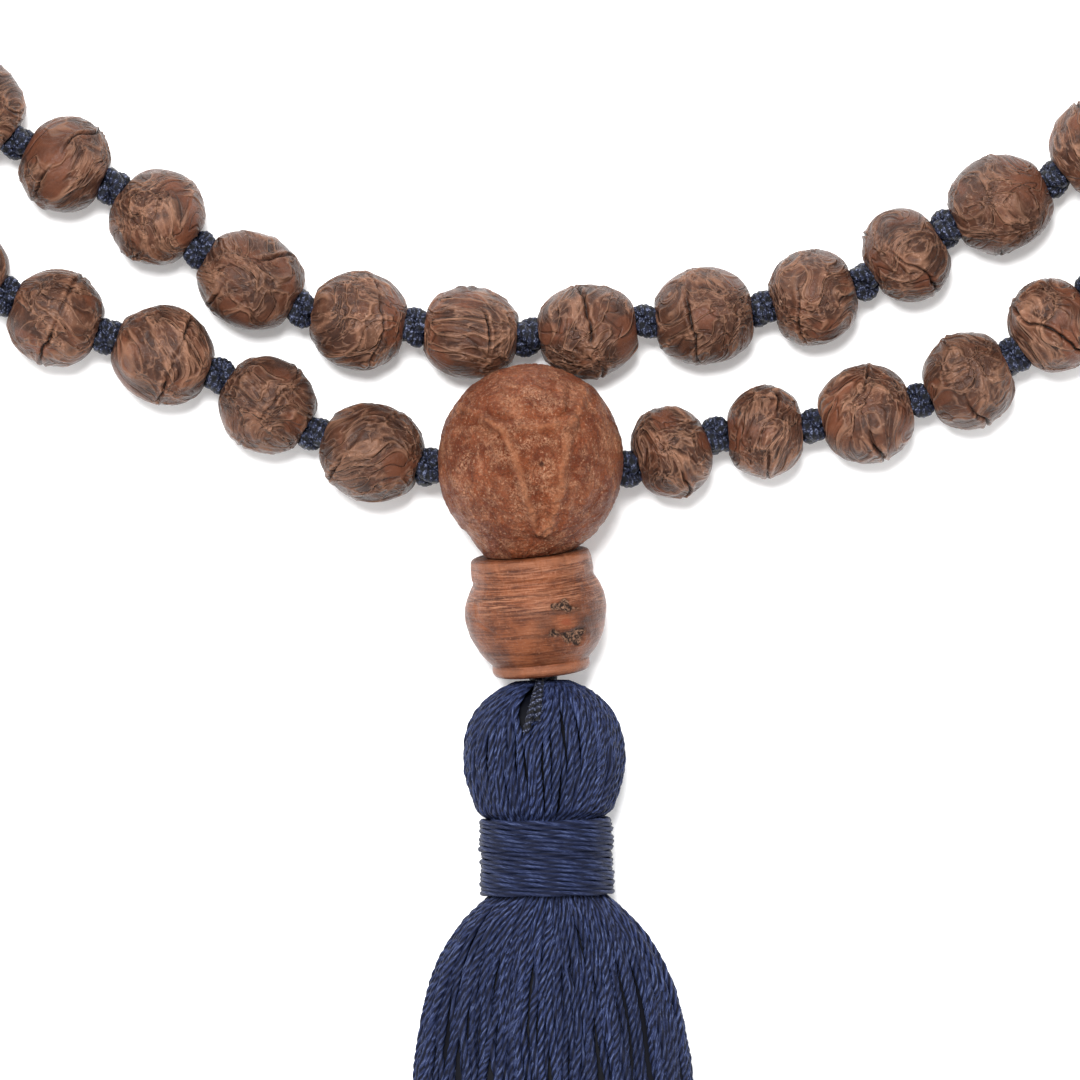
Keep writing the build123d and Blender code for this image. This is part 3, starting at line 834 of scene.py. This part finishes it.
def add_guru():
    lean = -math.asin(pendant_way[2])
    axis = Vector((0, -math.cos(lean), -math.sin(lean)))
    place = placed(GURU_CENTRE, axis)
    turn = np.array(place.to_3x3())
    grid = lathe(guru_profile(300), 360)
    outward = unit(grid * np.array([1, 1, 0.9]))
    seen = grid @ turn.T
    up = smoothstep((outward @ turn.T)[..., 2], 0.0, 0.35)
    x, y = seen[..., 0], seen[..., 1]
    wander = 0.2 * noise(seen, 1.6, 901) + 0.1 * noise(seen, 0.5, 909)
    height = 0.16 * noise(seen, 4.5, 902) + 0.06 * noise(seen, 1.8, 903)
    scuffs = veins(seen + 0.6 * noise(seen, 2.0, 904)[..., None], 1.1, 905, 0.22)
    grit = noise(seen, 0.35, 906)
    height += 0.08 * scuffs + 0.045 * grit
    ridge_light_hollow_shade = 0.25 * scuffs
    # Each raised line gets a painted highlight, and the groove beside it painted shade.
    for corners, tall, wide in GURU_LINES:
        away = off_line(x + wander, y - wander, corners)
        line = up * bump(away, 0.85 * wide) * (0.8 + 0.4 * grit)
        skirt = up * bump(away, 2.2 * wide)
        groove = up * bump(away - 2.1 * wide, 0.8 * wide)
        height += tall * (0.6 * line + 0.5 * skirt - 0.4 * groove)
        ridge_light_hollow_shade = np.maximum(ridge_light_hollow_shade, (0.75 * line + 0.2 * skirt) * tall / 0.4) - 0.45 * groove * tall / 0.4
    inside = up * smoothstep(off_line(x, y, [(0.9, 1.8), (0.9, -3.0)]), 2.2, 0.6)
    height -= 0.12 * inside
    # The pits and, below, the string's mouths are painted with shade.
    shaded_pit = sum(deep * up * bump(np.hypot(x - at_x, y - at_y), wide) for at_x, at_y, wide, deep in GURU_PITS)
    for at_x, at_y in GURU_NODULES:
        knob = up * bump(np.hypot(x - at_x, y - at_y), 0.24)
        height += 0.24 * knob
        ridge_light_hollow_shade = np.maximum(ridge_light_hollow_shade, knob)
    height -= 0.25 * shaded_pit
    # Its foot leans as the barrel bead's rim does, so that they meet all round.
    foot = smoothstep(grid[..., 2], 6.8, GURU_FOOT)
    reach = FOOT_REACH + math.tan(BARREL_LEAN) * grid[..., 0]
    grid = grid + (foot * reach)[..., None] * np.array([0, 0, 1])
    body_side = smoothstep(np.hypot(grid[..., 0], grid[..., 1]), 3.9, 4.6) + (grid[..., 2] < 0)
    moved = grid + outward * (height * np.clip(body_side, 0, 1))[..., None]
    for mouth in (LEFT_MOUTH, RIGHT_MOUTH):
        centre = (np.array(mouth) - GURU_CENTRE) @ turn
        way = moved - centre
        depth = np.linalg.norm(way, axis=-1)
        inside_mouth = smoothstep(depth, MOUTH_RADIUS + 0.25, MOUTH_RADIUS - 0.35)
        moved = moved - outward * (inside_mouth * np.clip(MOUTH_RADIUS + 0.2 - depth, 0, 2) * 1.1)[..., None]
        shaded_pit = np.maximum(shaded_pit, 0.8 * inside_mouth)
    mottle = smoothstep(noise(seen, 2.4, 907) + 0.4 * noise(seen, 0.8, 908), 0.0, 0.7)
    paint = np.stack([ridge_light_hollow_shade, shaded_pit, mottle], -1)
    grid = (moved, paint, np.zeros_like(moved))
    build("guru_seed", [grid], guru_shell, "strand", ["guru_bead"], place)


pendant_way = Vector(joints["barrel_turn"]["axis"])
if pendant_way.y > 0:
    pendant_way = -pendant_way
add_guru()


# ---------------- barrel bead

BARREL_HEIGHT = 11.1
BARREL_BORE = 1.25
# Radius at each height from the rim down, on its outside.
BARREL_OUTLINE = [
    (4.65, 0.02), (5.05, 0.0), (5.36, 0.12), (5.52, 0.45), (5.58, 1.1), (5.62, 1.8), (5.54, 2.15),
    (5.6, 2.45), (5.86, 2.9), (6.16, 3.5), (6.4, 4.3), (6.45, 5.2), (6.34, 6.3), (6.04, 7.4),
    (5.56, 8.5), (5.0, 9.3), (4.6, 9.75), (4.42, 9.95), (4.46, 10.1), (4.47, 10.6), (4.25, 10.95),
    (3.9, 11.08),
]
# Short cuts in its upper side, as (x, y, width).
BARREL_NICKS = [
    (-3.0, -10.4, 0.16), (0.5, -9.4, 0.14), (3.2, -9.3, 0.18), (1.0, -10.1, 0.12), (-5.0, -14.0, 0.2),
]


def rounded(outline, steps):
    """An outline with its points joined by a smooth line, an equal number of steps to each run."""
    points = np.array(outline, float)
    before, after = points[:-1], points[1:]
    slope = np.gradient(points, axis=0)
    start, end = slope[:-1], slope[1:]
    smooth = []
    for part in np.linspace(0, 1, steps, endpoint=False):
        a, b = part * part * part, part * part
        ends = (2 * a - 3 * b + 1) * before + (3 * b - 2 * a) * after
        smooth.append(ends + (a - 2 * b + part) * start + (a - b) * end)
    return np.concatenate([np.stack(smooth, 1).reshape(-1, 2), points[-1:]])


def add_barrel():
    end = np.array(joints["hanger_swing"]["pos_m"]) / MM
    top = end - np.array(pendant_way) * (BARREL_HEIGHT + 0.3)
    place = placed(top, pendant_way)
    turn = np.array(place.to_3x3())
    outline = list(rounded(BARREL_OUTLINE, 8))
    outline += [(2.6, BARREL_HEIGHT - 0.02), (1.5, BARREL_HEIGHT - 0.1), (BARREL_BORE, BARREL_HEIGHT - 0.4)]
    outline += [(BARREL_BORE, 6.0), (BARREL_BORE, 0.12), (2.4, 0.07), (3.6, 0.06), (4.25, 0.04)]
    grid = lathe(outline, 300)
    outward = unit(grid * np.array([1, 1, 0]) + np.array([0, 0, 1e-9]))
    seen = grid @ turn.T
    x = seen[..., 0] + top[0]
    y = seen[..., 1] + top[1]
    up = smoothstep((outward @ turn.T)[..., 2], 0.1, 0.5)
    outside = smoothstep(np.hypot(grid[..., 0], grid[..., 1]), 3.9, 4.3)
    tooling = noise(grid * np.array([0.12, 0.12, 1]), 0.34, 921)
    tooling += 0.6 * noise(grid * np.array([0.1, 0.1, 1]), 0.16, 922)
    height = 0.014 * tooling + 0.08 * noise(grid, 3.0, 923) + 0.04 * noise(grid, 0.9, 927)
    ragged = 0.7 * noise(grid * np.array([0.6, 0.6, 1]), 0.55, 924) + 0.3 * noise(grid, 0.3, 925)
    upper = off_line(x, y, [(2.3, -13.6), (3.3, -13.5), (4.6, -13.9)])
    lower = off_line(x, y, [(2.1, -15.9), (3.4, -16.7), (4.6, -16.2)])
    shaded_pit = up * (bump(upper - 0.6 * ragged, 0.4) + bump(lower - 0.7 * ragged, 0.46)) * (0.8 + 0.5 * ragged)
    shaded_pit += 0.4 * up * bump(np.hypot(x + 2.5, (y + 13.9) * 1.6), 0.8) * (0.8 + 0.8 * ragged)
    spot = up * bump(np.hypot((x - 3.3) / 1.5, y + 15.0), 0.55)
    spot -= up * bump(np.hypot((x - 3.7) / 1.7, (y + 15.1) / 1.2), 1.7) * (1 - spot) * (0.8 + 0.3 * ragged)
    height += np.where(shaded_pit > 0.15, 0.14 * ragged - 0.22, 0) * smoothstep(shaded_pit, 0.15, 0.6)
    height += 0.12 * up * (bump(upper - 0.75, 0.25) + bump(lower - 0.85, 0.25)) * (0.4 + ragged)
    wear = smoothstep(noise(grid, 1.6, 926), 0.3, 0.8) * 0.5
    wear += bump(grid[..., 2] - 0.5, 0.35) + bump(grid[..., 2] - 10.4, 0.4)
    for nick_x, nick_y, wide in BARREL_NICKS:
        nick = up * bump(off_line(x, y, [(nick_x, nick_y + 0.5), (nick_x + 0.2, nick_y - 0.4)]), wide)
        height -= 0.12 * nick
        wear += 0.6 * nick
    scratch = up * bump(off_line(x, y, [(-5.4, -14.6), (-4.0, -15.6), (-2.8, -16.4)]), 0.12)
    height -= 0.08 * scratch
    wear += 0.5 * scratch
    moved = grid + outward * (height * outside)[..., None]
    paint = np.stack([np.clip(shaded_pit, 0, 1), spot, np.clip(wear, 0, 1)], -1)
    band = bump(grid[..., 2] - 3.6, 1.5) * (0.7 + 0.5 * noise(grid, 2.2, 929))
    band += 0.5 * bump(grid[..., 2] - 1.0, 1.0)
    grids = [(moved, paint, np.stack([band, 0 * band, 0 * band], -1))]
    build("barrel_wood", grids, turned_wood, "barrel", ["barrel_bead"], place, closed=True)


add_barrel()


# ---------------- tassel

TASSEL_TURN = math.radians(1.3)
HEAD_TOP, HEAD_WIDEST, HEAD_END = 0.3, 7.5, 12.75
HEAD_HALF_WIDTH, HEAD_HALF_THICKNESS = 7.5, 6.5
NECK_END = 19.85
NECK_HALF_WIDTH, NECK_HALF_THICKNESS = 5.4, 5.1
SKIRT_LENGTH = 60.0
YARN_RADIUS = 0.3
YARN_PLIES = 3
YARN_TWIST = 3.3
OUTER_YARNS, INNER_YARNS = 104, 190
WRAP_TURNS = 17
pivot = np.array(joints["hanger_swing"]["pos_m"]) / MM
tassel_way = np.array([math.sin(TASSEL_TURN), -math.cos(TASSEL_TURN), 0])
tassel_side = np.array([math.cos(TASSEL_TURN), math.sin(TASSEL_TURN), 0])
upward = np.array([0, 0, 1.0])
TIE_TURN = math.radians(104)
TASSEL_NODES = ["tassel_head", "tassel_neck", "tassel_skirt"]


def tassel_section(along):
    """Half the tassel's width and thickness and its middle's height above the pivot, at distances from it."""
    rise = np.clip((along - HEAD_TOP) / (HEAD_WIDEST - HEAD_TOP), 0, 1)
    fall = np.clip((along - HEAD_WIDEST) / (HEAD_END - HEAD_WIDEST), 0, 1)
    bulb = (1 - (1 - rise) ** 2.4) ** (1 / 2.1) - 0.18 * fall**1.7
    tuck = smoothstep(along, HEAD_END - 0.7, HEAD_END + 0.5)
    down = np.clip(along - NECK_END, 0, None)
    spread = 1 - np.exp(-down / 6.6)
    half_width = HEAD_HALF_WIDTH * bulb * (1 - tuck) + tuck * (NECK_HALF_WIDTH - 0.3)
    half_width = half_width + 8.6 * spread + 0.06 * down
    half_thickness = HEAD_HALF_THICKNESS * bulb * (1 - tuck) + tuck * (NECK_HALF_THICKNESS - 0.3)
    half_thickness = half_thickness + 0.9 * spread - 0.012 * down
    height = (half_thickness + 0.1 - pivot[2]) * spread
    return half_width, half_thickness, height


def even_turns(count, width, thickness, shift):
    """Angles that are evenly far apart round an oval."""
    turn = np.linspace(0, 2 * math.pi, 721)
    step = np.hypot(width * np.sin(turn), thickness * np.cos(turn))
    run = np.concatenate([[0], np.cumsum((step[1:] + step[:-1]) / 2)])
    return np.interp((np.arange(count) + shift) / count % 1 * run[-1], run, turn)


def in_tassel(along, side, up):
    return pivot + along[:, None] * tassel_way + side[:, None] * tassel_side + up[:, None] * upward


def wander(run, cell, size, dice):
    """A slow smooth drift along a yarn."""
    knots = np.arange(0, run[-1] + 2 * cell, cell)
    values = dice.normal(0, size, len(knots))
    return np.interp(run, knots, values)


def soften(values, steps):
    """Values with their corners smoothed over a number of steps."""
    kernel = np.hanning(steps + 2)[1:-1]
    padded = np.pad(values, steps // 2, mode="edge")
    return np.convolve(padded, kernel / kernel.sum(), mode="valid")[: len(values)]


def yarn_grid(dice, start, end, spacing, head_turn, skirt_turn, clump, depth, sides):
    """One plied yarn of the tassel, from start to end along it."""
    along = np.arange(start, end, spacing)
    width, thickness, height = tassel_section(along)
    down = np.clip(along - NECK_END, 0, None)
    loose = smoothstep(down, 0, 22)
    turn = head_turn + (skirt_turn - head_turn) * smoothstep(along, HEAD_WIDEST, NECK_END + 3)
    gathered = turn + (clump["turn"] - turn) * clump["pull"] * loose
    gathered += soften(wander(down, 9, 0.05, dice), 31) * loose + soften(wander(along, 4, 0.022, dice), 15)
    # The first loops part round the tie that shows between them.
    off_tie = turn[0] - TIE_TURN
    gathered += 0.16 * np.sign(off_tie) * bump(off_tie, 0.35) * smoothstep(along, 6, 2)
    share = depth * (1 - clump["sink"] * loose)
    inset = YARN_RADIUS + np.abs(soften(wander(along, 5, 0.18, dice), 21))
    sway = 0.6 * (1 - 0.75 * abs(math.cos(skirt_turn)))
    side = (width - inset) * share * np.cos(gathered) + soften(wander(down, 14, sway, dice), 41) * loose
    up = height + (thickness - inset) * share * np.sin(gathered)
    up = np.maximum(up, YARN_RADIUS - pivot[2])
    path = in_tassel(along, side, up)
    across = -np.sin(gathered)[:, None] * tassel_side + np.cos(gathered)[:, None] * upward
    ends = np.minimum(1, np.minimum(np.arange(len(along)), np.arange(len(along))[::-1]) / 2 + 0.05)
    radius = YARN_RADIUS * ends * dice.uniform(0.92, 1.08) * (1 + 0.2 * loose)
    radius = radius * (1 + soften(wander(along, 1.6, 0.1, dice), 9))
    twist = YARN_TWIST * dice.uniform(0.8, 1.25)
    phase = dice.uniform(0, 6) + soften(wander(along, 2.2, 1.1, dice), 9)
    points, ply, fibre = tube(path, across, radius, YARN_PLIES, twist, phase, sides)
    tone = np.full_like(ply, dice.uniform(0, 1))
    # Yarns deeper in the tassel get painted shade.
    depth_shade = np.broadcast_to(np.clip((1 - share) * 2.2, 0, 0.85)[:, None], ply.shape)
    return points, np.stack([ply, tone, depth_shade], -1), fibre


def add_pieces(name, grids, each, nodes):
    for index in range(0, len(grids), each):
        piece = f"{name}_{index // each + 1}"
        build(piece, grids[index:index + each], cotton_yarn, "tassel", nodes)


def add_yarns():
    dice = np.random.default_rng(77)
    width, thickness, _ = tassel_section(np.array([HEAD_WIDEST, NECK_END + 14]))
    clumps = []
    for turn in even_turns(30, width[1], thickness[1], 0.2):
        clumps.append({
            "turn": turn + dice.normal(0, 0.11), "pull": dice.uniform(0.6, 1.0), "sink": dice.uniform(0, 0.38)
        })
    clump_turns = np.array([clump["turn"] for clump in clumps])

    def nearest_clump(turn):
        gap = (clump_turns - turn + math.pi) % (2 * math.pi) - math.pi
        near = clumps[np.abs(gap).argmin()]
        return {**near, "turn": turn + gap[np.abs(gap).argmin()]}

    head_turns = even_turns(OUTER_YARNS, width[0], thickness[0], 0)
    skirt_turns = even_turns(OUTER_YARNS, width[1], thickness[1], 0)
    outer = []
    for head_turn, skirt_turn in zip(head_turns, skirt_turns):
        jitter = dice.normal(0, 0.012)
        end = NECK_END + SKIRT_LENGTH - abs(dice.normal(0, 0.9))
        clump = nearest_clump(skirt_turn)
        turns = (head_turn + jitter, skirt_turn + jitter)
        outer.append(yarn_grid(dice, HEAD_TOP, end, 0.19, *turns, clump, 1.0, 12))
    add_pieces("yarn_outer", outer, 20, TASSEL_NODES)
    inner = []
    for layer, (depth, share) in enumerate(((0.94, 0.45), (0.8, 0.32), (0.58, 0.23))):
        count = round(INNER_YARNS * share)
        for turn in even_turns(count, width[1], thickness[1], 0.4 + 0.1 * layer):
            turn = turn + dice.normal(0, 0.04)
            end = NECK_END + SKIRT_LENGTH - abs(dice.normal(0, 1.4))
            clump = {"turn": turn + dice.normal(0, 0.12), "pull": 0.5, "sink": 0.05}
            inner.append(yarn_grid(dice, HEAD_END + 1, end, 0.26, turn, turn, clump, depth, 8))
    add_pieces("yarn_inner", inner, 40, TASSEL_NODES)


def add_shade_core():
    """A dark body in the tassel's middle, painted as the shade behind the gaps between its yarns."""
    along = np.linspace(HEAD_TOP + 0.9, NECK_END + SKIRT_LENGTH - 9, 90)
    width, thickness, height = tassel_section(along)
    down = np.clip(along - NECK_END, 0, None)
    share = np.where(along < HEAD_END, 0.9, 0.93 - 0.34 * smoothstep(down, 16, 50))
    share = share * smoothstep(along, HEAD_TOP + 0.8, HEAD_TOP + 1.6)
    share[-1] = 0.0
    turn = np.linspace(0, 2 * math.pi, 64, endpoint=False)[None, :]
    side = ((width - 0.7) * share)[:, None] * np.cos(turn)
    up = height[:, None] + ((thickness - 0.7) * share**3)[:, None] * np.sin(turn)
    points = pivot + along[:, None, None] * tassel_way
    points = points + side[..., None] * tassel_side + up[..., None] * upward
    # The deepest painted shade, all through.
    paint = np.broadcast_to([0.2, 0.5, 1.0], points.shape)
    grid = (points[:, ::-1], paint, np.zeros_like(points))
    build("painted_shade_core", [grid], cotton_yarn, "tassel", TASSEL_NODES)


def add_wrap():
    """Fine yarn wound round the neck in close turns."""
    dice = np.random.default_rng(9)
    grids = []
    for index in range(WRAP_TURNS):
        turn = np.linspace(0, 2 * math.pi, 300, endpoint=False)
        middle = HEAD_END + 0.3 + (index + 0.5) * (NECK_END - HEAD_END - 0.3) / WRAP_TURNS
        drift = 0.09 * np.sin(turn + 0.4) + 0.035 * np.sin(2 * turn + dice.uniform(0, 6))
        along = middle + drift + dice.normal(0, 0.025)
        flare = 0.12 * abs(index - WRAP_TURNS / 2) / WRAP_TURNS
        out = 0.46 + flare + dice.normal(0, 0.07) + 0.05 * np.sin(3 * turn + dice.uniform(0, 6))
        side = (NECK_HALF_WIDTH + out) * np.cos(turn)
        up = (NECK_HALF_THICKNESS + out) * np.sin(turn)
        path = in_tassel(along, side, up)
        twist = (turn[-1] + turn[1]) * NECK_HALF_WIDTH / dice.integers(3, 6)
        points, ply, fibre = tube(path, tassel_way, dice.uniform(0.25, 0.31), 2, twist, turn, 10, closed=True)
        tone = np.full_like(ply, dice.uniform(0, 1))
        # The ply height sets painted shade between the plies; the third part darkens the whole wrap a little.
        grids.append((points, np.stack([0.3 + 0.45 * ply, tone, 0.3 + 0 * ply], -1), fibre))
    build("yarn_wrap", grids, cotton_yarn, "tassel", ["tassel_wrap"], closed=True)


def add_tie():
    """The dark braided cord that ties the tassel's loops to the hanger knot, and shows between them."""
    dice = np.random.default_rng(3)
    grids = []
    for lean, reach in ((-0.30, 5.2), (-0.2, 3.6), (-0.12, 4.2)):
        run = np.linspace(0, 1, 60)
        along = -0.2 + run * reach
        _, thickness, _ = tassel_section(along)
        side = lean * along - 0.1
        up = thickness * 0.97 + 0.25 - 1.4 * np.clip(run - 0.75, 0, 1)
        up = up * smoothstep(run, -0.25, 0.12)
        path = in_tassel(along, side, up)
        points, ply, fibre = tube(path, tassel_side, 0.42, 2, 1.3, dice.uniform(0, 6), 10)
        # The ply height sets painted shade between the plies.
        paint = np.stack([0.25 + 0.6 * ply, 0 * ply + 0.5, 0 * ply], -1)
        grids.append((points, paint, fibre))
    build("tie_cord", grids, braided_cord, "tassel", ["tassel_tie"])


HANGER_KNOT_WIDTH = 3.0


def add_hanger_knot():
    dice = np.random.default_rng(21)
    grids = [knot_grid(dice, KNOT_COUNT, HANGER_KNOT_WIDTH)]
    place = placed(pivot, pendant_way)
    nodes = ["hanger_knot"]
    build("hanger_lump", grids, braided_cord, "hanger_knot", nodes, place, closed=True)


add_yarns()
add_shade_core()
add_wrap()
add_tie()
add_hanger_knot()
